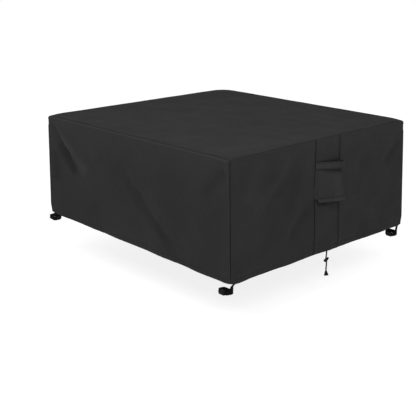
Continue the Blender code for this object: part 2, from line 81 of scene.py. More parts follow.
# %% Measures
WIDTH = 1.26
HALF = WIDTH / 2
DROP = 0.535
FLARE = 0.012
TOP = 0.002
EDGE_RADIUS = 0.012
STRIP_NEAR = -0.078
STRIP_FAR = 0.099
SLACK = 0.004
TOP_SAG = 0.002
CORNER_DIP = 0.005
CORNER_DIP_SPREAD = 0.045
CORNER_DIP_FADE = 8
WAVE = 0.0025
WAVE_COUNTS = {"front": 5.0, "right": 4.2, "back": 4.6, "left": 5.4}
HEM_PULL = 0.005
HEM_PULL_HEIGHT = 0.05
HEM_LIFT = 0.009
HEM_LIFT_REACH = 0.045
HEM_LIFT_POWER = 5
LEFT_CORNER_RISE = 0.031
RIGHT_CORNER_DROP = 0.015
ASKEW = (0.010, 0.009)
SEAM_FADE = 0.06

ALONG = {"front": (1, 0, 0), "right": (0, 1, 0), "back": (-1, 0, 0), "left": (0, -1, 0)}
OUTWARD = {"front": (0, -1, 0), "right": (1, 0, 0), "back": (0, 1, 0), "left": (-1, 0, 0)}

# These three tables are in millimetres. Each row ends with a bent line of places (along the side, height).
# Folds of the solid part: half width, rise, line
FOLDS = {"front": (
    (55, -7, (-590, -60), (-480, -180)),
    (55, -6, (-480, -180), (-370, -230)),
    (50, 7, (-490, -50), (-340, -160)),
    (60, -8, (-50, -180), (60, -280)),
    (65, -9, (60, -280), (320, -460)),
    (60, 6, (160, -260), (360, -400)),
    (55, -6, (600, -60), (500, -180)),
), "right": (
    (50, 8, (-280, -20), (-350, -110)),
    (55, 9, (-350, -110), (-490, -240)),
    (65, -10, (-190, -70), (-270, -250)),
    (60, -6, (-110, -300), (-220, -380)),
    (55, -6, (600, -60), (490, -160)),
    (80, -5, (280, -160), (400, -360)),
), "back": (
    (60, -6, (-580, -70), (-420, -220)),
    (70, -9, (50, -160), (300, -420)),
    (60, 6, (160, -140), (380, -360)),
), "left": (
    (60, -7, (560, -70), (380, -240)),
    (70, -9, (-60, -200), (-320, -450)),
    (60, 6, (-170, -170), (-400, -380)),
)}

# Creases that only the fine cloth has, narrower and sharper than the folds: half width, rise, line
CREASES = {"front": (
    (36, -10, (-606, -30), (-578, -61), (-500, -168), (-432, -231), (-366, -261)),
    (44, 10, (-575, -20), (-538, -56), (-470, -132), (-401, -204), (-305, -276)),
    (44, -4, (-520, -20), (-492, -33), (-382, -115), (-276, -194)),
    (34, -8, (-49, -165), (-7, -244), (69, -322), (152, -385), (233, -447), (286, -495), (320, -530)),
    (46, 7.4, (-15, -165), (34, -235), (118, -308), (215, -380), (330, -465), (370, -500)),
    (36, -5.2, (612, -40), (590, -75), (545, -127), (480, -197)),
    (40, 1.4, (-200, -60), (-160, -150), (-150, -230)),
    (40, -1.6, (-330, -330), (-240, -420), (-200, -480)),
), "right": (
    (44, 10.5, (-262, -2), (-277, -22), (-329, -96), (-394, -156), (-449, -222), (-475, -282)),
    (30, -4.6, (-295, -30), (-358, -110), (-428, -175), (-485, -240)),
    (52, -6, (-215, -40), (-265, -130), (-345, -220)),
    (34, -5.2, (-109, -291), (-165, -336), (-220, -379), (-270, -430)),
    (32, -3.4, (-585, -60), (-560, -130), (-520, -200)),
    (34, 3.4, (610, -35), (570, -85), (500, -140), (440, -175)),
    (40, -6.6, (600, -70), (540, -130), (450, -200)),
    (40, -1.6, (200, -300), (250, -380), (270, -440)),
), "back": (
    (36, -4.4, (-590, -60), (-500, -160), (-400, -225)),
    (36, -5, (20, -140), (140, -270), (300, -400)),
    (34, 4, (600, -50), (540, -130), (470, -180)),
), "left": (
    (36, -4.4, (590, -60), (500, -150), (400, -220)),
    (36, -5, (-50, -190), (-180, -330), (-330, -440)),
    (34, 4, (-590, -60), (-530, -140), (-470, -190)),
)}

# Painted light on the lit flank of a fold and painted shade in its trough: half width, tone, its share, line
PAINTED_FOLD_SHADING = {"front": (
    (30, "dark", 0.34, (-554, -114), (-523, -159), (-476, -206), (-437, -250), (-399, -283)),
    (42, "light", 0.55, (-527, -69), (-496, -109), (-448, -146), (-402, -188), (-340, -231), (-295, -257)),
    (60, "dark", 0.26, (-583, -170), (-571, -260), (-559, -352)),
    (30, "dark", 0.16, (49, -291), (76, -309), (135, -366), (201, -420), (252, -468)),
    (30, "dark", 0.18, (602, -53), (574, -117)),
), "right": (
    (22, "light", 0.28, (-309, -86), (-380, -148), (-449, -200), (-499, -255)),
    (85, "light", 0.26, (-399, -28), (-468, -132), (-518, -221)),
    (160, "light", 0.16, (-547, -138), (-537, -444)),
    (30, "dark", 0.14, (585, -86), (559, -107), (500, -164)),
)}

# %% [markdown]
# ## How the cloth hangs
# The shape of a hanging side is a sum of simple things: a slack middle, a few waves that grow toward the
# hem, folds that start at the corners where the cloth is pulled, and a hem that its cord draws in. A cloth
# simulation would put its folds in other places than the photo's, so each crease is drawn as a soft bank
# along a line, and all of them are added up over the whole sheet.

# %% Banks, waves and ramps
def ramp(low, high, value):
    """0 below low, 1 above high and a smooth step between."""
    share = np.clip((value - low) / (high - low), 0.0, 1.0)
    return share * share * (3 - 2 * share)


def bell(value, half_width):
    """1 where the value is 0, falling smoothly on both sides."""
    return np.exp(-(value / half_width) ** 2)


def run_along(points):
    """Distance along a line of points to each of them."""
    return np.concatenate([[0.0], np.cumsum(np.linalg.norm(np.diff(points, axis=0), axis=1))])


def off_line(along, z, points):
    """Distance from a bent line, and how far along it the nearest place is, as a share."""
    lengths = np.linalg.norm(np.diff(points, axis=0), axis=1)
    before = run_along(points)
    best = np.full(along.shape, 1e9)
    share = np.zeros(along.shape)
    for (ax, az), (bx, bz), length, start in zip(points, points[1:], lengths, before):
        run = np.clip(((along - ax) * (bx - ax) + (z - az) * (bz - az)) / length ** 2, 0.0, 1.0)
        away = np.hypot(along - ax - run * (bx - ax), z - az - run * (bz - az))
        nearer = away < best
        best = np.where(nearer, away, best)
        share = np.where(nearer, (start + run * length) / before[-1], share)
    return best, share


def bank(along, z, line, half_width, rise, fade=0.0):
    """A soft ridge (rise above 0) or trough (below 0) along a line in millimetres, fading at its ends."""
    away, share = off_line(along, z, np.array(line) / 1000)
    body = np.clip(1 - (away / (half_width / 1000)) ** 2, 0.0, 1.0) ** 2
    if fade:
        body = body * ramp(0.0, fade, share) * ramp(0.0, fade, 1 - share)
    return rise * body


def ripples(seed, along, z, shortest, longest, count=14):
    """A field of soft random waves, about 1 high, the same on every run."""
    chance = random.Random(seed)
    total = np.zeros(along.shape)
    for _ in range(count):
        angle, length = chance.uniform(0, pi), chance.uniform(shortest, longest)
        phase = chance.uniform(0, 2 * pi)
        total += np.sin(2 * pi * (along * cos(angle) + z * sin(angle)) / length + phase)
    return total / (count / 2) ** 0.5


# %% [markdown]
# ## Seams, hem and puckers
# A sewn edge isn't sharp. The two cloths roll in at the seam, so it is a dark groove, and beside it the
# seam allowance lies under the cloth and lifts it into a flat welt with a line of stitches. The hem is
# turned up and stitched a little above the edge, and the thread pulls the cloth into small puckers there.

# %% Seam and hem profiles
GROOVE_HALF = 0.0017
STITCH_HALF = 0.0011
HEM_HEIGHT = 0.022
SEAM_FREE = 0.03
CREASE_FADE = 0.2
# Small waves of the cloth: first seed, height, shortest and longest wave
RIPPLES = ((10, 0.0010, 0.09, 0.30), (20, 0.00030, 0.025, 0.06))
HEM_SEED = 30
TOP_SEED = 9
# The edge of one cloth runs on under its neighbour, this much deeper than the groove
UNDER_SEAM = 0.0016
# How deep each kind of seam is, how high its welt, how far off and how deep its line of stitches, and then
# how much painted shade its groove and its stitch line get and how much painted highlight its welt gets
UPRIGHT_SEAM = (0.0034, 0.0012, 0.0070, 0.0008, 1.0, 0.35, 0.36)
CORNER_SEAM = (0.0048, 0.0018, 0.0085, 0.0010, 1.0, 0.35, 0.55)
TOP_SEAM = (0.0, 0.0010, 0.0100, 0.0010, 0.0, 0.20, 0.0)


def seam_profile(away, kind):
    """Height of the cloth beside a seam: groove, round welt, and the furrow of its stitches."""
    deep, welt, stitches, sink, *_ = kind
    groove = -deep * bell(away, GROOVE_HALF)
    lifted = welt * ramp(0.0006, 0.0034, away) * (1 - ramp(stitches - 0.002, stitches + 0.006, away))
    furrow = -sink * bell(away - stitches, STITCH_HALF * 1.3)
    return np.where(away < 0, -deep - UNDER_SEAM, groove + lifted + furrow)


def seam_tone(away, kind):
    """Painted shade in a seam's groove and in its stitch line, and a painted highlight on its welt."""
    stitches, groove_dark, stitch_dark, welt_highlight = kind[2], *kind[4:]
    groove = groove_dark * bell(away, GROOVE_HALF * 1.25)
    furrow = stitch_dark * bell(away - stitches, STITCH_HALF * 1.6)
    welt = ramp(0.0010, 0.0030, away) * (1 - ramp(stitches - 0.0025, stitches, away))
    return np.maximum(groove, furrow), welt_highlight * welt


def hem_profile(seed, along, above):
    """Height of the cloth near its lower edge, above being the height over that edge."""
    furrow = -0.0009 * bell(above - HEM_HEIGHT, 0.0014)
    lifted = 0.0006 * (1 - ramp(HEM_HEIGHT, HEM_HEIGHT + 0.002, above))
    puckers = 0.00055 * ripples(seed, along, above * 0.35, 0.011, 0.028)
    near = bell(above - HEM_HEIGHT, 0.020)
    return furrow + lifted + puckers * near * ramp(0.0, 0.006, above + 0.004)


def off_rim(x, y):
    """Distance of a place on the top from the nearest edge."""
    return HALF - np.maximum(np.abs(x), np.abs(y))


def seams_of(side, along, z, first, last):
    """Distance to each seam of a panel, below 0 past it, and the kind of seam."""
    if side == "top":
        return [(off_rim(along, z), TOP_SEAM)]
    return [(along - first, CORNER_SEAM if first == -HALF else UPRIGHT_SEAM),
            (last - along, CORNER_SEAM if last == HALF else UPRIGHT_SEAM), (TOP - z, TOP_SEAM)]


def fine_height(side, along, z, first, last):
    """What the thin cloth adds to the solid part's folds: creases, small waves, seams and the hem."""
    near_seam = ramp(0.0, SEAM_FREE, HALF - np.abs(along)) * ramp(0.0, SEAM_FREE, -z)
    total = np.zeros(along.shape)
    for half_width, rise, *line in CREASES.get(side, ()):
        total += bank(along, z, line, half_width, rise / 1000, CREASE_FADE)
    seed = sorted(OUTWARD).index(side) if side != "top" else TOP_SEED
    for first_seed, height, shortest, longest in RIPPLES:
        total += height * ripples(first_seed + seed, along, z, shortest, longest)
    if side == "top":
        near_seam = ramp(0.0, SEAM_FREE, off_rim(along, z))
    else:
        total += hem_profile(HEM_SEED + seed, along, z + DROP)
    beside = [seam_profile(away, kind) for away, kind in seams_of(side, along, z, first, last)]
    lowest, highest = np.min(beside, axis=0), np.max(beside, axis=0)
    return total * near_seam + np.where(lowest < 0, lowest, highest)


def side_height(side, along, z):
    """How far a side of the solid part stands out of its flat plane."""
    depth = -z / DROP
    seam = ramp(0.0, SEAM_FADE, HALF - np.abs(along)) * ramp(0.0, SEAM_FADE, -z)
    fold = np.zeros(along.shape)
    for half_width, rise, *line in FOLDS[side]:
        fold += bank(along, z, line, half_width, rise / 1000)
    slack = -SLACK * np.cos(pi * along / WIDTH) * ramp(0.0, 0.6, depth)
    wave = WAVE * depth ** 2 * np.sin(2 * pi * WAVE_COUNTS[side] * (along / WIDTH + 0.5))
    pull = -HEM_PULL * ramp(DROP - HEM_PULL_HEIGHT, DROP, -z)
    return seam * (fold + wave) + slack + pull


def top_height(x, y):
    """The top dips a little between its edges, but not in the middle, where it lies flat."""
    dip = np.sin(2 * pi * x / WIDTH) ** 2 * np.cos(pi * y / WIDTH) ** 2
    dip += np.sin(2 * pi * y / WIDTH) ** 2 * np.cos(pi * x / WIDTH) ** 2
    return -TOP_SAG * dip


# %% Cloth surface
def unit(rows):
    """The rows, each at length 1."""
    return rows / np.maximum(np.linalg.norm(rows, axis=1), 1e-9)[:, None]


def drape(side, along, z, panel=None):
    """Outer face of the cloth and the directions out of it. A panel's (first, last) adds its fine shape."""
    if side == "top":
        half = np.full(along.shape, HALF)
        sharp = np.stack([along, z, np.full(along.shape, TOP)], -1)
        height = top_height(along, z)
    else:
        half = HALF + FLARE * np.maximum(-z, 0.0) / DROP
        sharp = np.outer(half, OUTWARD[side]) + np.outer(along * half / HALF, ALONG[side])
        sharp[:, 2] = z
        height = side_height(side, along, z)
    if panel:
        height = height + fine_height(side, along, z, *panel)
    flat = (half - EDGE_RADIUS)[:, None]
    core = np.concatenate([np.clip(sharp[:, :2], -flat, flat),
                           np.minimum(sharp[:, 2:], TOP - EDGE_RADIUS)], axis=1)
    outward = unit(sharp - core)
    x, y, z = (core + outward * (EDGE_RADIUS + height)[:, None]).T
    depth = np.clip(-z / DROP, 0.0, 1.0)
    from_corner = np.hypot(half - np.abs(x), half - np.abs(y))
    z = z - CORNER_DIP * bell(from_corner, CORNER_DIP_SPREAD) * np.exp(-depth * CORNER_DIP_FADE)
    z = z + LEFT_CORNER_RISE * depth * (HALF - x) / WIDTH * (HALF - y) / WIDTH
    z = z - RIGHT_CORNER_DROP * depth * (HALF + x) / WIDTH * (HALF + y) / WIDTH
    z = z + HEM_LIFT * np.maximum(0.0, 1 - from_corner / HEM_LIFT_REACH) ** 2 * depth ** HEM_LIFT_POWER
    return np.stack([x + ASKEW[0] * depth, y + ASKEW[1] * depth, z], -1), outward


# %% [markdown]
# ## Draw cord
# The cord is a thin braid. It leaves the hem as two strands side by side, goes through the cord lock and
# ends in a moulded tab, all in the photo from end to end, so its length is the photo's: about 10 cm a
# strand. A braid is a tube with its pattern wound round it, so each strand is a tube along its path, and
# it keeps a map of how far along and how far round each point is.

# %% Helpers for fresh objects
def start_fresh():
    """Nothing selected, so that an operator acts on the new piece only."""
    bpy.ops.object.select_all(action="DESELECT")


def face_count(piece):
    return sum(len(face.vertices) - 2 for face in piece.data.polygons)


def vertex_rows(piece, what="co"):
    """The places of the vertices, or their normals, one to a row."""
    rows = np.empty(len(piece.data.vertices) * 3)
    piece.data.vertices.foreach_get(what, rows)
    return rows.reshape(-1, 3)


def cut_across(way, places):
    """Cuts through the active piece, square to a direction, at distances along it."""
    bpy.ops.object.mode_set(mode="EDIT")
    for place in places:
        bpy.ops.mesh.select_all(action="SELECT")
        bpy.ops.mesh.bisect(plane_co=way * place, plane_no=way)
    bpy.ops.object.mode_set(mode="OBJECT")


def take_place(piece, replaced):
    """The piece is seen in place of a node of the solid part, and rides on the cover."""
    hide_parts(replaced)
    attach(piece, "cover")
    print(piece.name, "triangles", face_count(piece))


def sample(points, run, goals):
    """Places at given distances along a line of points."""
    return np.stack([np.interp(goals, run, column) for column in points.T], -1)


CURVE_STEPS = 24


def smooth_curve(points, count):
    """Count points at even steps of a smooth curve through the given ones."""
    points = [Vector(p) for p in points]
    ends = [2 * points[0] - points[1], *points, 2 * points[-1] - points[-2]]
    fine = []
    for i in range(1, len(ends) - 2):
        a, b, c, d = ends[i - 1:i + 3]
        for k in range(CURVE_STEPS):
            t = k / CURVE_STEPS
            fine.append(0.5 * ((2 * b) + (c - a) * t + (2 * a - 5 * b + 4 * c - d) * t ** 2
                               + (3 * b - 3 * c + d - a) * t ** 3))
    fine = np.array([*fine, points[-1]])
    run = run_along(fine)
    return sample(fine, run, np.linspace(0.0, run[-1], count))


def write_map(piece, name, at_vertex):
    """A UV map from one pair of numbers for each vertex."""
    layer = piece.data.uv_layers.get(name) or piece.data.uv_layers.new(name=name)
    corner = np.empty(len(piece.data.loops), int)
    piece.data.loops.foreach_get("vertex_index", corner)
    layer.data.foreach_set("uv", np.asarray(at_vertex, float)[corner].ravel())


# %% Strands of the draw cord
CORD = 0.0040
CORD_PITCH = 0.0042
CORD_X = 0.646
CORD_Y = 0.026
CORD_BOTTOM = DROP + 0.109
CORD_END_SHIFT = 0.0032
LOCK_Z = -(DROP + 0.0505)
LOCK_TILT = radians(20)
LOCK_REACH = 0.0085
CORD_ABOVE = ((0.0, -0.016), (-0.0012, -0.033))
CORD_BELOW = ((0.0036, -0.077), (0.0024, -0.093))
CORD_SIDES = 16
CORD_RINGS = 72


def tube(name, path, radius, sides):
    """A round tube: a cylinder cut into rings, which are moved along a path. Its map is in metres."""
    start_fresh()
    bpy.ops.mesh.primitive_cylinder_add(vertices=sides, radius=radius, depth=1.0)
    piece = bpy.context.active_object
    piece.name = piece.data.name = name
    cut_across(Vector((0, 0, 1)), [i / (len(path) - 1) - 0.5 for i in range(1, len(path) - 1)])
    co = vertex_rows(piece)
    ring = np.rint((co[:, 2] + 0.5) * (len(path) - 1)).astype(int)
    tangent = unit(np.gradient(path, axis=0))
    first = unit(np.cross(tangent, (1.0, 0.0, 0.0)))
    second = np.cross(tangent, first)
    placed = path[ring] + first[ring] * co[:, :1] + second[ring] * co[:, 1:2]
    piece.data.vertices.foreach_set("co", placed.ravel())
    angle = np.arctan2(co[:, 1], co[:, 0])
    run = run_along(path)
    write_map(piece, "braid", np.stack([angle * radius, run[ring]], -1))
    piece.data.update()
    bpy.ops.object.mode_set(mode="EDIT")
    bpy.ops.mesh.select_all(action="SELECT")
    bpy.ops.mesh.normals_make_consistent(inside=False)
    bpy.ops.object.mode_set(mode="OBJECT")
    return piece


hem_there = drape("right", np.array([CORD_Y - ASKEW[1]]), np.array([-DROP]))[0][0][2]
through = np.array((0, sin(LOCK_TILT), -cos(LOCK_TILT)))
lock_middle = np.array((CORD_X, CORD_Y, LOCK_Z))
middle = [(CORD_X, CORD_Y, hem_there - 0.0003)]
middle += [(CORD_X, CORD_Y + dy, dz - DROP) for dy, dz in CORD_ABOVE]
middle += [tuple(lock_middle + through * step) for step in (-LOCK_REACH, 0.0, LOCK_REACH)]
middle += [(CORD_X, CORD_Y + dy, dz - DROP) for dy, dz in CORD_BELOW]
middle.append((CORD_X, CORD_Y + CORD_END_SHIFT, -CORD_BOTTOM))
strands = []
for letter, way in (("a", -1), ("b", 1)):
    path = smooth_curve([Vector(p) + Vector((0, way * CORD_PITCH / 2, 0)) for p in middle], CORD_RINGS)
    strand = tube("draw_cord_" + letter, path, CORD / 2, CORD_SIDES)
    take_place(strand, "cord_strand_" + letter)
    strands.append(strand)

# %% [markdown]
# ## Cloth sheets
# Each panel is one sheet: a flat grid is added, and every point of it is moved to its place on the hanging
# cloth. The grid is fine beside the seams and the hem, where the shape changes fast, and coarse in
# between. Below the hem line the sheet turns in and runs up again inside, as a real hem does. A Solidify
# modifier then gives it the thickness of coated cloth, inward from its outer face.

# %% Measures of the band and the hood, which shade the cloth behind them
BAND_TOP = -0.100
BAND_HEIGHT = 0.034
BAND_THICKNESS = 0.0022
BAND_TILT = 0.015
HOOD_GAP = 0.0015
HOOD_BOTTOM = -0.291
HOOD_MARGIN_BOTTOM = -0.270
HOOD_STEP = (0.012, 0.028)
HOOD_FALL = 0.007
HOOD_PROUD = 0.035
HOOD_FIRST_SWELL = 0.28
HOOD_FIRST_SWELL_BY = 0.16
HOOD_SWELL_POWER = 0.8
HOOD_THICKNESS = 0.0016
ON_CLOTH = 0.0005
BAND_PLAN = (
    (-0.002, 0.0), (0.011, 0.0), (0.035, 0.004), (0.085, 0.012), (0.135, 0.0215), (0.170, 0.0265),
    (0.1820, 0.0230), (0.1850, 0.0150), (0.1825, 0.0065), (0.1730, 0.0), (0.1590, 0.0),
)
HOOD_PLAN = (
    (-0.003, 0.0), (0.013, 0.0), (0.030, 0.08), (0.065, 0.32), (0.105, 0.62), (0.140, 0.86),
    (0.167, 0.99), (0.178, 1.0), (0.182, 0.93), (0.1835, 0.50), (0.185, 0.06), (0.189, 0.0), (0.197, 0.0),
)


def over_strip(y):
    """0 at the near seam of the strip and 1 at its far one."""
    return np.clip((y - STRIP_NEAR) / (STRIP_FAR - STRIP_NEAR), 0.0, 1.0)


def band_edge(y):
    """Upper edge of the handle band, which slopes down toward its far end."""
    return BAND_TOP - BAND_TILT * over_strip(y)


def band_foot(y):
    return band_edge(y) - BAND_HEIGHT


def hood_top(y):
    return band_foot(y) - HOOD_GAP


def hood_bottom(y):
    step = ramp(STRIP_NEAR + HOOD_STEP[0], STRIP_NEAR + HOOD_STEP[1], y)
    return HOOD_MARGIN_BOTTOM + (HOOD_BOTTOM - HOOD_MARGIN_BOTTOM) * step - HOOD_FALL * over_strip(y)


# %% Stations, sheets and their sizes
# Painted light on the top and on the upper part of each side, where the lamps fall more
TOP_PAINTED_LIGHT = 0.15
TOP_LIGHT_FALLOFF = 0.10
TOP_RIM_SHADE = 0.25
SIDE_PAINTED_LIGHT = 0.24
# Painted highlight along each side's top edge, more on the sides that face the lamps
EDGE_HIGHLIGHT = {"front": 0.90, "right": 0.30, "back": 0.60, "left": 0.70}
PAINTED_LIGHT_DOWN_TO = 0.20
BEHIND_BAND = 0.85
UNDER_HOOD = 0.75
HEM_LINE_DARK = 0.35
HEM_EDGE_DARK = 0.5
HIGHLIGHT_DOWN_TO = (0.007, 0.018)
TONE_FADE = 0.15
CLOTH = 0.0009
HEM_BETWEEN = 0.0021
HEM_TURN = pi / 2 * HEM_BETWEEN
TURN_UP = 0.024
CELL = 0.0056
TOP_CELL = 0.0072
TURN_CELL = 0.004
TURN_STEPS = 6
# Where the grid has its stations, in millimetres: beside a seam, past it, and over the hem's edge
BESIDE_SEAM, PAST_SEAM, OVER_HEM = (np.array(distances) / 1000 for distances in (
    (0.25, 0.9, 1.6, 2.3, 3.1, 4.5, 5.8, 6.8, 7.8, 9.2, 10.8, 12.5, 15, 18.5),
    (0.2, 2, 4.5, 7.5),
    (0, 1.8, 4, 6.5, 9, 12, 15, 18, 20.3, 21.3, 22, 22.7, 24, 26.5, 30, 34, 38)))


def even(first, last, cell):
    count = max(1, round(abs(last - first) / cell))
    return np.linspace(first, last, count + 1)


def across_stations(first, last, cell=CELL, under=(False, False)):
    """Places across a panel, close together beside its seams, and past a seam that it runs on under."""
    between = even(first + BESIDE_SEAM[-1], last - BESIDE_SEAM[-1], cell)[1:-1]
    parts = [first + BESIDE_SEAM, between, last - BESIDE_SEAM[::-1]]
    if under[0]:
        parts.insert(0, first - PAST_SEAM[::-1])
    if under[1]:
        parts.append(last + PAST_SEAM)
    return np.concatenate(parts)


def down_stations():
    """Places down a side: under the top's edge, down to the hem's edge, round the turn and up the inside."""
    between = even(TOP - BESIDE_SEAM[-1], -DROP + OVER_HEM[-1], CELL)[1:-1]
    inside = HEM_TURN + even(0, TURN_UP, TURN_CELL)[1:]
    return np.concatenate([TOP + PAST_SEAM[::-1], TOP - BESIDE_SEAM, between, -DROP + OVER_HEM[::-1],
                           -DROP - np.linspace(0, HEM_TURN, TURN_STEPS)[1:], -DROP - inside])


def sheet_from_grid(name, us, vs, place):
    """A grid with a cell between each two stations, moved to place(u, v), its map in metres."""
    start_fresh()
    bpy.ops.mesh.primitive_grid_add(x_subdivisions=len(us) - 1, y_subdivisions=len(vs) - 1, size=2)
    piece = bpy.context.active_object
    piece.name = piece.data.name = name
    co = vertex_rows(piece)
    column = np.rint((co[:, 0] + 1) / 2 * (len(us) - 1)).astype(int)
    row = np.rint((co[:, 1] + 1) / 2 * (len(vs) - 1)).astype(int)
    u, v = np.asarray(us, float)[column], np.asarray(vs, float)[row]
    placed, outward, *tones = place(u, v)
    piece.data.vertices.foreach_set("co", placed.ravel())
    piece.data.update()
    write_map(piece, "weave", np.stack([u, v], -1))
    # The shares of painted shade and painted light, when the place gives them.
    for label, values in zip(("dark", "light"), tones):
        layer = piece.data.attributes.new(label, "FLOAT", "POINT")
        layer.data.foreach_set("value", np.ascontiguousarray(values))
    if (vertex_rows(piece, "normal") * outward).sum() < 0:
        piece.data.flip_normals()
    return piece


def spread_map(piece, run, width):
    """A strip's map in metres: its grid's numbers become distances along it, and its shares a width."""
    layer = piece.data.uv_layers["weave"]
    uv = np.empty(len(layer.data) * 2)
    layer.data.foreach_get("uv", uv)
    uv = uv.reshape(-1, 2)
    along = run[np.rint(uv[:, 0]).astype(int)]
    layer.data.foreach_set("uv", np.stack([along, uv[:, 1] * width], -1).ravel())


def thicken(piece, thickness):
    """Thickness inward from the outer face."""
    solid = piece.modifiers.new("thickness", "SOLIDIFY")
    solid.thickness = thickness
    solid.offset = -1.0
    solid.use_even_offset = False
    start_fresh()
    bpy.context.view_layer.objects.active = piece
    piece.select_set(True)
    bpy.ops.object.modifier_apply(modifier=solid.name)
    piece.data.shade_smooth()


def seam_tones(side, along, z, panel):
    """Dark and light shares of the cloth's tone, all painted shade and painted light: seams, stitches, folds,
    the hem, the hidden strip and the upper cloth that the lamps light more.
    """
    # Painted shade in the seams' grooves and stitch lines, and a painted highlight on their welts.
    both = [seam_tone(away, kind) for away, kind in seams_of(side, along, z, *panel)]
    dark, light = (np.max([pair[i] for pair in both], axis=0) for i in (0, 1))
    if side == "top":
        # Painted light: the top is lighter toward its near and left part and less so toward the far right.
        painted_light = TOP_PAINTED_LIGHT - TOP_LIGHT_FALLOFF * ramp(-0.2, 0.5, along) * ramp(-0.6, 0.2, z)
        # Painted shade in a band just inside the top's rim.
        inward = off_rim(along, z)
        edge_band = ramp(0.001, 0.004, inward) * (1 - ramp(0.010, 0.026, inward))
        dark = np.maximum(dark, TOP_RIM_SHADE * edge_band)
    else:
        # Painted light: each side is lighter near its top and darker lower down.
        painted_light = SIDE_PAINTED_LIGHT * (1 - ramp(0.0, PAINTED_LIGHT_DOWN_TO, -z))
        # Painted light and painted shade along the folds.
        for half_width, tone, share, *line in PAINTED_FOLD_SHADING.get(side, ()):
            painted_fold = bank(along, z, line, half_width, share, TONE_FADE)
            if tone == "light":
                painted_light = painted_light + painted_fold
            else:
                dark = dark + painted_fold * (1 - dark)
        # Painted highlight along the top edge of each side.
        light = np.maximum(light, EDGE_HIGHLIGHT[side] * (1 - ramp(*HIGHLIGHT_DOWN_TO, TOP - z)))
        # Painted shade in the hem's stitch line and along its lower edge.
        above = z + DROP
        dark = np.maximum(dark, HEM_LINE_DARK * bell(above - HEM_HEIGHT, 0.0020))
        dark = np.maximum(dark, HEM_EDGE_DARK * (1 - ramp(0.0, 0.003, above)))
    if panel == (STRIP_NEAR, STRIP_FAR):
        # Painted shade on the strip where the band hides it, and a painted shadow under the hood and just
        # below its edge.
        under_edge = band_edge(along) - z
        hidden = ramp(-0.006, 0.003, under_edge) * (1 - ramp(-0.003, 0.003, under_edge - BAND_HEIGHT))
        below = ramp(-0.150, -0.160, z) * (1 - ramp(0.006, 0.026, hood_bottom(along) - z))
        dark = np.maximum(dark, np.maximum(BEHIND_BAND * hidden, UNDER_HOOD * below))
    return dark, np.maximum(light, painted_light) * (1 - dark)


def side_place(side, panel):
    def place(along, down):
        """down is a height above the hem's edge, and the distance past it on the part that is turned up."""
        past = np.maximum(-DROP - down, 0.0)
        z = np.maximum(down, -DROP)
        bend = np.clip(past / HEM_TURN, 0.0, 1.0) * pi
        risen = np.maximum(past - HEM_TURN, 0.0)
        points, outward = drape(side, along, z + risen, panel)
        points = points - outward * (HEM_BETWEEN / 2 * (1 - np.cos(bend)))[:, None]
        points[:, 2] -= HEM_BETWEEN / 2 * np.sin(bend)
        return points, outward * np.cos(bend)[:, None], *seam_tones(side, along, z, panel)
    return place


downs = down_stations()
panels = []
for name, side, replaced, first, last, under in (
    ("front_cloth", "front", "front_panel", -HALF, HALF, (True, True)),
    ("back_cloth", "back", "back_panel", -HALF, HALF, (True, True)),
    ("left_cloth", "left", "left_panel", -HALF, HALF, (False, False)),
    ("right_cloth_near", "right", "right_panel_near", -HALF, STRIP_NEAR, (False, True)),
    ("vent_strip_cloth", "right", "vent_strip", STRIP_NEAR, STRIP_FAR, (False, False)),
    ("right_cloth_far", "right", "right_panel_far", STRIP_FAR, HALF, (True, False)),
):
    stations = across_stations(first, last, under=under)
    piece = sheet_from_grid(name, stations, downs, side_place(side, (first, last)))
    thicken(piece, CLOTH)
    take_place(piece, replaced)
    panels.append(piece)

square = across_stations(-HALF, HALF, TOP_CELL)
edges = (-HALF, HALF)
piece = sheet_from_grid("top_cloth", square, square,
                        lambda x, y: (*drape("top", x, y, edges), *seam_tones("top", x, y, edges)))
thicken(piece, CLOTH)
take_place(piece, "top_panel")
panels.append(piece)

# %% [markdown]
# ## Handle band and vent hood
# Both are strips of the same cloth that stand off the side. In plan the band leaves the near seam flat,
# swings out to make room for a hand and comes back to the far seam. The hood does the same but is a wide
# flap that swells toward its open lower edge. A smooth curve through a few points gives each plan.

# %% Band and hood
BAND_GRID = (110, 33)
HOOD_GRID = (120, 81)
HOOD_EDGE = STRIP_NEAR + 0.181
RUN_TAKEN_AT = 0.6
BAND_STITCHES = 0.0045
HOOD_HEM = 0.021
HOOD_MARGIN = 0.016


def hood_swell(share):
    first = HOOD_FIRST_SWELL * ramp(0.0, HOOD_FIRST_SWELL_BY, share)
    return HOOD_PROUD * (first + (1 - HOOD_FIRST_SWELL) * share ** HOOD_SWELL_POWER)


def strip_run(plan, stand):
    """Distance along a strip's plan, with the stand-off that it has at one height."""
    return run_along(plan * (1.0, float(stand(np.array([RUN_TAKEN_AT]))[0])))


def plan_place(plan, thickness, stand, top_at, bottom_at, relief):
    """Outer face of a strip from its plan. relief gives its fine height and its tones."""
    run = strip_run(plan, stand)
    slope = np.gradient(plan, axis=0)

    def place(index, share):
        k = index.astype(int)
        past, out = plan[k].T
        y = STRIP_NEAR + past
        proud = stand(share)
        across = unit(np.stack([slope[k, 0], -slope[k, 1] * proud, np.zeros(len(k))], -1))
        z = top_at(y) * (1 - share) + bottom_at(y) * share
        points = drape("right", y, z)[0]
        points[:, 0] += ON_CLOTH + thickness / 2 + out * proud
        height, dark, light = relief(run[k], share, y)
        return points + across * (thickness / 2 + height)[:, None], across, dark, light * (1 - dark)

    return place


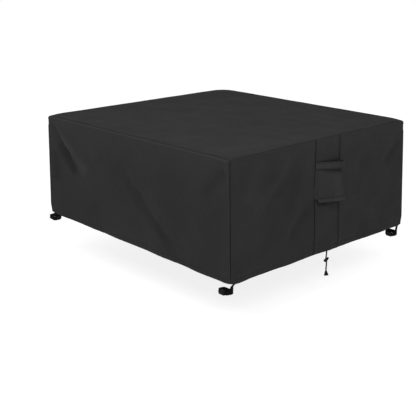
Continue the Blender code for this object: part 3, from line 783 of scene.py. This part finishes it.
def band_relief(run, share, y):
    """A folded band: its two edges round off, with a stitch line beside each. Its tone is painted shade at
    its near end, in its stitch lines and at its lower edge, and painted light that fades along it.
    """
    edge = np.minimum(share, 1 - share) * BAND_HEIGHT
    rounding = -0.0009 * (1 - ramp(0.0, 0.0025, edge))
    furrow = -0.0006 * bell(edge - BAND_STITCHES, 0.0010)
    # Painted shade at the near end, in the stitch lines and under the lower edge; the light share returned
    # below is painted light.
    dark = 0.7 * bell(run - 0.001, 0.0022) + 0.45 * bell(edge - BAND_STITCHES, 0.0016)
    dark = np.maximum(dark, 0.8 * (1 - ramp(0.0, 0.0015, (1 - share) * BAND_HEIGHT)))
    height = rounding + furrow + 0.0004 * ripples(50, run, share * BAND_HEIGHT, 0.02, 0.05)
    return height, np.clip(dark, 0.0, 1.0), 0.72 - 0.38 * ramp(0.05, 0.17, run)


def hood_relief(run, share, y):
    """A flap with a turned-up hem, a sewn margin on the near seam and a few soft folds that fan out of it."""
    height = (hood_top(y) - hood_bottom(y)) * (1 - share)
    hem = -0.0009 * bell(height - HOOD_HEM, 0.0013) + 0.0007 * (1 - ramp(HOOD_HEM, HOOD_HEM + 0.002, height))
    margin = -0.0008 * bell(run - HOOD_MARGIN, 0.0014) - 0.0008 * (1 - ramp(0.0, 0.002, run))
    fan = 0.0016 * np.sin(2 * pi * (run - 0.02) / 0.055 + 1.6 * share) * share * ramp(0.03, 0.08, run)
    puckers = 0.0005 * ripples(51, run, height, 0.012, 0.030) * bell(height - HOOD_HEM, 0.014)
    # Painted shade outlines the hood: its near edge, its margin, its hem line, its lower edge and its far
    # edge.
    dark = 0.95 * bell(run, 0.0022) + 0.6 * bell(run - HOOD_MARGIN, 0.0020)
    dark += 0.55 * bell(height - HOOD_HEM, 0.0022) + 0.95 * (1 - ramp(0.0, 0.0022, height))
    dark += 0.95 * bell(y - HOOD_EDGE, 0.0028)
    # Painted light on the flap, its hem band, its margin and one fold.
    light = 0.34 + 0.24 * (1 - ramp(0.0175, 0.0195, height)) + 0.20 * (1 - ramp(0.012, 0.014, run))
    light += 0.20 * ramp(0.10, 0.14, run) * (1 - ramp(0.15, 0.17, run))
    return hem + margin + fan * (1 - ramp(0.17, 0.19, run)) + puckers, np.clip(dark, 0.0, 1.0), light


def add_strip(name, plan, thickness, stand, top_at, bottom_at, relief, shares, replaced):
    place = plan_place(plan, thickness, stand, top_at, bottom_at, relief)
    piece = sheet_from_grid(name, range(len(plan)), shares, place)
    run = strip_run(plan, stand)
    height = abs(float((top_at(np.array([0.0])) - bottom_at(np.array([0.0])))[0]))
    spread_map(piece, run, height)
    thicken(piece, thickness)
    take_place(piece, replaced)
    panels.append(piece)


band_plan = smooth_curve([(*p, 0.0) for p in BAND_PLAN], BAND_GRID[0])[:, :2]
add_strip(
    "handle_cloth", band_plan, BAND_THICKNESS, np.ones_like, band_edge, band_foot, band_relief,
    np.linspace(0, 1, BAND_GRID[1]), "handle_band")

hood_plan = smooth_curve([(y, out * HOOD_PROUD, 0.0) for y, out in HOOD_PLAN], HOOD_GRID[0])[:, :2]
hood_plan[:, 1] /= HOOD_PROUD
add_strip(
    "hood_cloth", hood_plan, HOOD_THICKNESS, hood_swell, hood_top, hood_bottom, hood_relief,
    np.linspace(0, 1, HOOD_GRID[1]), "vent_hood")

# %% [markdown]
# ## Corner straps
# Each corner has a webbing tab, sewn inside the hem, and a webbing loop that a buckle closes. Webbing is
# flat and stiff across its width, so a narrow grid bent along a path is enough, with small rounded edges.
# The moulded buckles keep the shape of the solid part.

# %% Webbing
WEBBING_WIDTH = 0.020
WEBBING = 0.0015
LOOP_HALF_DEPTH = 0.020
LOOP_CORNER = 0.010
LOOP_TILT = radians(7)
TAB_RISE = 0.020
TAB_GAP = 0.0009
TAB_BELOW = 0.010
TAB_FROM_CORNER = 0.033
TAB_BENDS = (0.21, 0.47, 0.66)
BUCKLE_HALF = 0.016
CLEAR = 0.0003
PANEL_CLOTH = 0.002
TAB_RINGS = 40
LOOP_TURN_STEPS = 8
ACROSS_WEBBING = np.array((-0.5, -0.485, -0.46, -0.42, *np.linspace(-0.36, 0.36, 9), 0.42, 0.46, 0.485, 0.5))
STRAPS = (
    ("near", Vector((0.599, -0.609, -0.580)), "right", "front"),
    ("left", Vector((-0.6215, -0.610, -0.531)), "front", "right"),
    ("right", Vector((0.612, 0.618, -0.594)), "right", "front"),
    ("back", Vector((-0.592, 0.615, -0.580)), "left", "back"),
)


def ribbon(name, path, across, replaced):
    """Webbing along a path, its width along across, with rounded edges and its map in metres."""
    path = np.asarray(path, float)
    across = np.asarray(across, float)
    outward = np.cross(unit(np.gradient(path, axis=0)), across)

    def place(index, share):
        k = index.astype(int)
        rounding = np.sqrt(np.clip(1 - ((np.abs(share) - 0.46) / 0.045) ** 2, 0.12, 1.0))
        half = WEBBING / 2 * np.where(np.abs(share) > 0.46, rounding, 1.0)
        return path[k] + across * (WEBBING_WIDTH * share)[:, None] + outward[k] * half[:, None], outward[k]

    piece = sheet_from_grid(name, range(len(path)), ACROSS_WEBBING, place)
    spread_map(piece, run_along(path), WEBBING_WIDTH)
    thicken(piece, WEBBING)
    take_place(piece, replaced)
    return piece


def loop_path():
    """Open square, in plan, from one end of the buckle to the other. The buckle is at +Y."""
    reach, depth = BUCKLE_HALF + CLEAR, LOOP_HALF_DEPTH
    path = [(reach, depth)]
    corners = ((reach, depth - LOOP_CORNER, 90), (reach, -depth + LOOP_CORNER, 0),
               (-reach, -depth + LOOP_CORNER, -90), (-reach, depth - LOOP_CORNER, -180))
    for x, y, start in corners:
        for i in range(LOOP_TURN_STEPS + 1):
            angle = radians(start - 90 * i / LOOP_TURN_STEPS)
            path.append((x + LOOP_CORNER * cos(angle), y + LOOP_CORNER * sin(angle)))
    path.append((-reach, depth))
    apart = [path[0]]
    for point in path[1:]:
        if np.hypot(point[0] - apart[-1][0], point[1] - apart[-1][1]) > CLEAR:
            apart.append(point)
    return [Vector((x, y, 0)) for x, y in apart]


ribbons = []
for corner, centre, tab_side, buckle_side in STRAPS:
    along_way, out_way = Vector(ALONG[tab_side]), Vector(OUTWARD[tab_side])
    buckle_way = Vector(OUTWARD[buckle_side])
    turned = -Vector((0, 1)).angle_signed(buckle_way.to_2d())
    tilt = LOOP_TILT if along_way.dot(centre) > 0 else -LOOP_TILT
    place = Matrix.Translation(centre) @ Matrix.Rotation(tilt, 4, out_way) @ Matrix.Rotation(turned, 4, "Z")
    ribbons.append(ribbon("loop_webbing_" + corner, [place @ p for p in loop_path()],
                          (place.to_3x3() @ Vector((0, 0, 1))).normalized(), "strap_loop_" + corner))

    reach = HALF - TAB_FROM_CORNER
    along = min(max(along_way.dot(centre - Vector((*ASKEW, 0))), -reach), reach)
    on_loop = out_way.dot(centre) + BUCKLE_HALF + CLEAR + LOOP_CORNER + WEBBING + CLEAR
    down = np.array([-DROP + TAB_RISE, -DROP + TAB_RISE / 2, -DROP])
    points = [Vector(p) - out_way * (PANEL_CLOTH + TAB_GAP + WEBBING / 2)
              for p in drape(tab_side, np.full(3, along), down)[0]]
    hem = points[-1].copy()
    fall = hem.z - centre.z
    between = (on_loop + hem.dot(out_way)) / 2
    for out, drop in zip((between, on_loop + CLEAR, on_loop, on_loop),
                         (*(share * fall for share in TAB_BENDS), fall + TAB_BELOW)):
        points.append(out_way * out + along_way * hem.dot(along_way) + Vector((0, 0, hem.z - drop)))
    ribbons.append(ribbon("tab_webbing_" + corner, smooth_curve(points, TAB_RINGS), tuple(along_way),
                          "strap_tab_" + corner))

# %% [markdown]
# ## Stitches
# The panels' seams and the hem are sewn with a lock stitch, about three to a centimetre. One stitch is
# modelled once, as a short rod with tapered ends, and copied along each line of sewing. All the stitches
# of one side are one piece.

# %% One stitch and its copies
STITCH = 0.0030
STITCH_STEP = 0.0038
THREAD = 0.00030
SEWN_POINTS = 700
SEWN_POINTS_DOWN = 300
SEWN_FROM_CORNER = 0.004
SEWN_BELOW_RIM = 0.012
SEWN_ABOVE_HEM = 0.003


def one_stitch():
    """Points and faces of a stitch along X that lies on the XY plane."""
    start_fresh()
    bpy.ops.mesh.primitive_cylinder_add(vertices=5, radius=THREAD, depth=STITCH, rotation=(0, pi / 2, 0))
    rod = bpy.context.active_object
    bpy.ops.object.transform_apply(location=True, rotation=True, scale=True)
    cut_across(Vector((1, 0, 0)), (-STITCH * 0.3, STITCH * 0.3))
    points = np.array([v.co for v in rod.data.vertices])
    tip = np.abs(points[:, 0]) > STITCH * 0.4
    points[tip, 1:] *= 0.45
    points[tip, 2] -= THREAD * 0.8
    faces = [tuple(face.vertices) for face in rod.data.polygons]
    bpy.data.objects.remove(rod, do_unlink=True)
    return points, faces


stitch_points, stitch_faces = one_stitch()


def sew(name, lines):
    """Stitches along lines, each an array of points and one of directions out of the cloth."""
    places = []
    for points, outward in lines:
        run = run_along(points)
        goals = np.arange(STITCH_STEP / 2, run[-1], STITCH_STEP)
        at = sample(points, run, goals)
        ahead = unit(sample(points, run, goals + STITCH / 2) - at)
        side = unit(np.cross(sample(outward, run, goals), ahead))
        up = np.cross(ahead, side)
        placed = (at + up * THREAD * 0.5)[:, None]
        for axis, way in enumerate((ahead, side, up)):
            placed = placed + stitch_points[None, :, axis:axis + 1] * way[:, None]
        places.append(placed)
    places = np.concatenate(places)
    each = len(stitch_points)
    faces = [tuple(i + k * each for i in face) for k in range(len(places)) for face in stitch_faces]
    mesh = bpy.data.meshes.new(name)
    mesh.from_pydata(places.reshape(-1, 3).tolist(), [], faces)
    mesh.shade_smooth()
    piece = bpy.data.objects.new(name, mesh)
    bpy.context.collection.objects.link(piece)
    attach(piece, "cover")
    print(name, len(places), "stitches,", face_count(piece), "triangles")
    return piece


def line_on(side, along, z, panel=(-HALF, HALF)):
    along, z = np.broadcast_arrays(np.asarray(along, float), np.asarray(z, float))
    return drape(side, along.copy(), z.copy(), panel)


stitching = []
top_run, side_run = TOP_SEAM[2], CORNER_SEAM[2]
fine = np.linspace(-HALF + SEWN_FROM_CORNER, HALF - SEWN_FROM_CORNER, SEWN_POINTS)
tall = np.linspace(TOP - SEWN_BELOW_RIM, -DROP + SEWN_ABOVE_HEM, SEWN_POINTS_DOWN)
for side in ("front", "back", "left", "right"):
    lines = [line_on(side, fine, -DROP + HEM_HEIGHT), line_on(side, fine, TOP - top_run),
             line_on(side, -HALF + side_run, tall), line_on(side, HALF - side_run, tall)]
    if side == "right":
        lines += [line_on(side, STRIP_NEAR - UPRIGHT_SEAM[2], tall, (-HALF, STRIP_NEAR)),
                  line_on(side, STRIP_FAR + UPRIGHT_SEAM[2], tall, (STRIP_FAR, HALF))]
    stitching.append(sew(side + "_stitches", lines))
inner = HALF - top_run
run = np.linspace(-inner, inner, SEWN_POINTS)
stitching.append(sew("top_stitches", [line_on("top", run, -inner), line_on("top", run, inner),
                                      line_on("top", -inner, run), line_on("top", inner, run)]))

# %% [markdown]
# ## Coated cloth
# The cloth is charcoal oxford: a plain weave of thick threads with a thin matt coating. Seen from a few
# metres the weave only takes the shine away, so it is a fine relief on the sheet's own map in metres,
# with a little change of tone from thread to thread. Wider soft patches of tone come from the coating.
# The sheets' dark and light shares, worked out above, are painted shade and painted light: they darken the
# seams, troughs, hem and hidden strip and lighten the ridges, edges and upper cloth where the lamps fall.

# %% Material helpers
def dress(pieces, material):
    for piece in pieces:
        piece.data.materials.clear()
        piece.data.materials.append(material)


class Finish:
    """A material, with a short way to add each kind of node that the finishes below are made of."""

    def __init__(self, name, colour, roughness, specular):
        self.material = bpy.data.materials.new(name)
        self.material.use_nodes = True
        self.nodes, self.links = self.material.node_tree.nodes, self.material.node_tree.links
        self.shader = self.nodes["Principled BSDF"]
        self.colour = (*colour, 1.0)
        self.relief_so_far = None
        self.shade("Base Color", self.colour)
        self.shade("Roughness", roughness)
        self.shade("Specular IOR Level", specular)

    def feed(self, socket, value):
        """A number or a colour is set on a socket, and an output is linked to it."""
        if isinstance(value, (int, float, tuple)):
            socket.default_value = value
        else:
            self.links.new(value, socket)

    def shade(self, name, value):
        self.feed(self.shader.inputs[name], value)

    def node(self, kind, **fed):
        """A new node, with its inputs fed by name."""
        made = self.nodes.new("ShaderNode" + kind)
        for name, value in fed.items():
            self.feed(made.inputs[name], value)
        return made

    def math(self, operation, *values):
        made = self.node("Math")
        made.operation = operation
        for socket, value in zip(made.inputs, values):
            self.feed(socket, value)
        return made.outputs[0]

    def wave(self, value, turns):
        return self.math("SINE", self.math("MULTIPLY", value, turns))

    def times(self, first, second, share=1.0):
        """A colour multiplied by a second one, which counts by a share."""
        made = self.node("Mix")
        made.data_type = "RGBA"
        made.blend_type = "MULTIPLY"
        for number, value in ((0, share), (6, first), (7, second)):
            self.feed(made.inputs[number], value)
        return made.outputs[2]

    def vary(self, *shares):
        """The material's own colour, multiplied by each share in turn."""
        tone = self.colour
        for share in shares:
            tone = self.times(tone, share)
        self.shade("Base Color", tone)
        return tone

    def ramp(self, value, *stops):
        """Greys between stops, each a place and how light it is."""
        made = self.node("ValToRGB", Fac=value)
        for element, (position, grey) in zip(made.color_ramp.elements, stops):
            element.position = position
            element.color = (grey, grey, grey, 1.0)
        return made.outputs["Color"]

    def noise(self, scale, detail=2.0, roughness=0.5):
        place = self.node("TexCoord").outputs["Object"]
        made = self.node("TexNoise", Vector=place, Scale=scale, Detail=detail, Roughness=roughness)
        return made.outputs["Fac"]

    def map_parts(self, name):
        """The two numbers of a piece's own map, in metres."""
        own = self.node("UVMap")
        own.uv_map = name
        return self.node("SeparateXYZ", Vector=own.outputs[0]).outputs

    def weave(self, pitch):
        """Relief of a plain weave: warp and weft threads that pass over each other in turn."""
        parts = self.map_parts("weave")
        over = self.math("MULTIPLY", *(self.wave(parts[i], 2 * pi / pitch) for i in (0, 1)))
        return self.math("ABSOLUTE", over), over

    def relief(self, height, strength, distance):
        """Relief on top of the relief so far."""
        made = self.node("Bump", Height=height, Strength=strength, Distance=distance)
        if self.relief_so_far is not None:
            self.feed(made.inputs["Normal"], self.relief_so_far)
        self.relief_so_far = made.outputs[0]
        self.shade("Normal", self.relief_so_far)


# %% Oxford cloth
WEAVE_PITCH = 0.0016
CHARCOAL = (0.0185, 0.0185, 0.0186)
# What the cloth is under full painted shade and under full painted light, as a share of its own tone
DARKEST = 0.25
LIGHTEST = 1.60


def oxford():
    cloth = Finish("charcoal_oxford", CHARCOAL, 0.88, 0.12)
    threads, over = cloth.weave(WEAVE_PITCH)
    patches = cloth.ramp(cloth.noise(2.4), (0.3, 0.94), (0.7, 1.06))
    speckle = cloth.ramp(cloth.noise(70.0, 3.0, 0.6), (0.3, 0.96), (0.7, 1.04))
    tone = cloth.vary(patches, speckle, cloth.ramp(threads, (0.0, 0.90), (1.0, 1.06)))
    # Painted shade and painted light, from the sheets' dark and light attributes.
    for label, most in (("dark", DARKEST), ("light", LIGHTEST)):
        mark = cloth.node("Attribute")
        mark.attribute_name = label
        tone = cloth.times(tone, (most, most, most, 1.0), mark.outputs["Fac"])
    cloth.shade("Base Color", tone)
    cloth.shade("Roughness", cloth.ramp(cloth.noise(9.0, 4.0), (0.3, 0.82), (0.7, 0.94)))
    cloth.relief(over, 0.35, 0.00025)
    cloth.relief(cloth.noise(38.0, 3.0, 0.55), 0.5, 0.0008)
    return cloth.material


dress(panels, oxford())

# %% [markdown]
# ## Thread, webbing, cord and moulded plastic
# The thread is a shade lighter than the cloth. Webbing is a plain weave too, with a coarser pitch. The cord
# is a round braid, so its pattern is wound both ways round it. The buckles, the cord lock and the cord
# end are black plastic from a mould, with a fine satin grain and a slightly uneven tone.

# %% Small materials
THREAD_GREY = (0.040, 0.040, 0.041)
BLACK = (0.0045, 0.0045, 0.0046)
WEBBING_PITCH = 0.0022


def thread_material():
    thread = Finish("dark_thread", THREAD_GREY, 0.6, 0.3)
    thread.vary(thread.ramp(thread.noise(600.0), (0.3, 0.8), (0.7, 1.2)))
    return thread.material


def webbing_material():
    webbing = Finish("black_webbing_weave", BLACK, 0.9, 0.06)
    threads, over = webbing.weave(WEBBING_PITCH)
    webbing.vary(webbing.ramp(threads, (0.0, 0.75), (1.0, 1.25)))
    webbing.relief(over, 0.6, 0.0004)
    return webbing.material


def braid_material():
    braid = Finish("black_braid", BLACK, 0.9, 0.06)
    around, along = braid.map_parts("braid")[:2]
    both = (braid.math(way, around, along) for way in ("ADD", "SUBTRACT"))
    over = braid.math("MULTIPLY", *(braid.wave(value, 2 * pi / (pi * CORD / 4)) for value in both))
    braid.vary(braid.ramp(braid.math("ABSOLUTE", over), (0.0, 0.6), (1.0, 1.3)))
    braid.relief(over, 0.8, 0.0004)
    return braid.material


def plastic_material():
    plastic = Finish("black_moulded", BLACK, 0.55, 0.12)
    plastic.shade("Roughness", plastic.ramp(plastic.noise(120.0, 3.0), (0.3, 0.50), (0.7, 0.66)))
    plastic.vary(plastic.ramp(plastic.noise(90.0, 3.0), (0.3, 0.85), (0.7, 1.2)))
    plastic.relief(plastic.noise(1500.0), 0.25, 0.0002)
    return plastic.material


dress(stitching, thread_material())
dress(strands, braid_material())
dress(ribbons, webbing_material())
plastic = plastic_material()
moulded = [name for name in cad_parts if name.startswith(("buckle_", "lock_", "cord_end"))]
for name in moulded:
    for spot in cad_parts[name].material_slots:
        spot.material = plastic
print("moulded nodes", len(moulded))

# %% [markdown]
# ## Floor and light
# The photo is a studio picture on white: the light comes from everywhere, a little more from above and
# from the plain front. A pale floor that glows a little keeps shadows off the ground. An even sky and
# wide soft lamps above do the rest.

# %% Floor and light
FLOOR = -0.74
FLOOR_SIZE = 80
LAMP_AIM = Vector((0, 0, -0.2))
FLOOR_GLOW = 0.835
SKY = 0.55
LAMPS = (
    ("lamp_front", (0.2, -2.8, 2.6), 1.8, 85),
    ("lamp_right", (2.8, 0.2, 2.5), 1.8, 45),
)

start_fresh()
bpy.ops.mesh.primitive_plane_add(size=FLOOR_SIZE, location=(0, 0, FLOOR))
floor = bpy.context.active_object
floor.name = "floor"
pale = Finish("pale_floor", (0.30, 0.30, 0.30), 1.0, 0.0)
pale.shade("Emission Color", (1.0, 1.0, 1.0, 1.0))
pale.shade("Emission Strength", FLOOR_GLOW)
dress([floor], pale.material)

scene = bpy.context.scene
scene.view_settings.view_transform = "Standard"
scene.view_settings.look = "None"
world = bpy.data.worlds.new("studio")
scene.world = world
world.use_nodes = True
sky = world.node_tree.nodes["Background"].inputs
sky["Color"].default_value = (1.0, 1.0, 1.0, 1.0)
sky["Strength"].default_value = SKY

for name, place, size, power in LAMPS:
    bpy.ops.object.light_add(type="AREA", location=place)
    lamp = bpy.context.active_object
    lamp.name = name
    lamp.data.size = size
    lamp.data.energy = power
    lamp.rotation_euler = (LAMP_AIM - Vector(place)).to_track_quat("-Z", "Y").to_euler()
print("lamps", [lamp[0] for lamp in LAMPS])

# %% Sizes
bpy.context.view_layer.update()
shown = [o for o in bpy.context.scene.objects if o.type == "MESH" and not o.hide_render]
print("total triangles", sum(face_count(o) for o in shown))
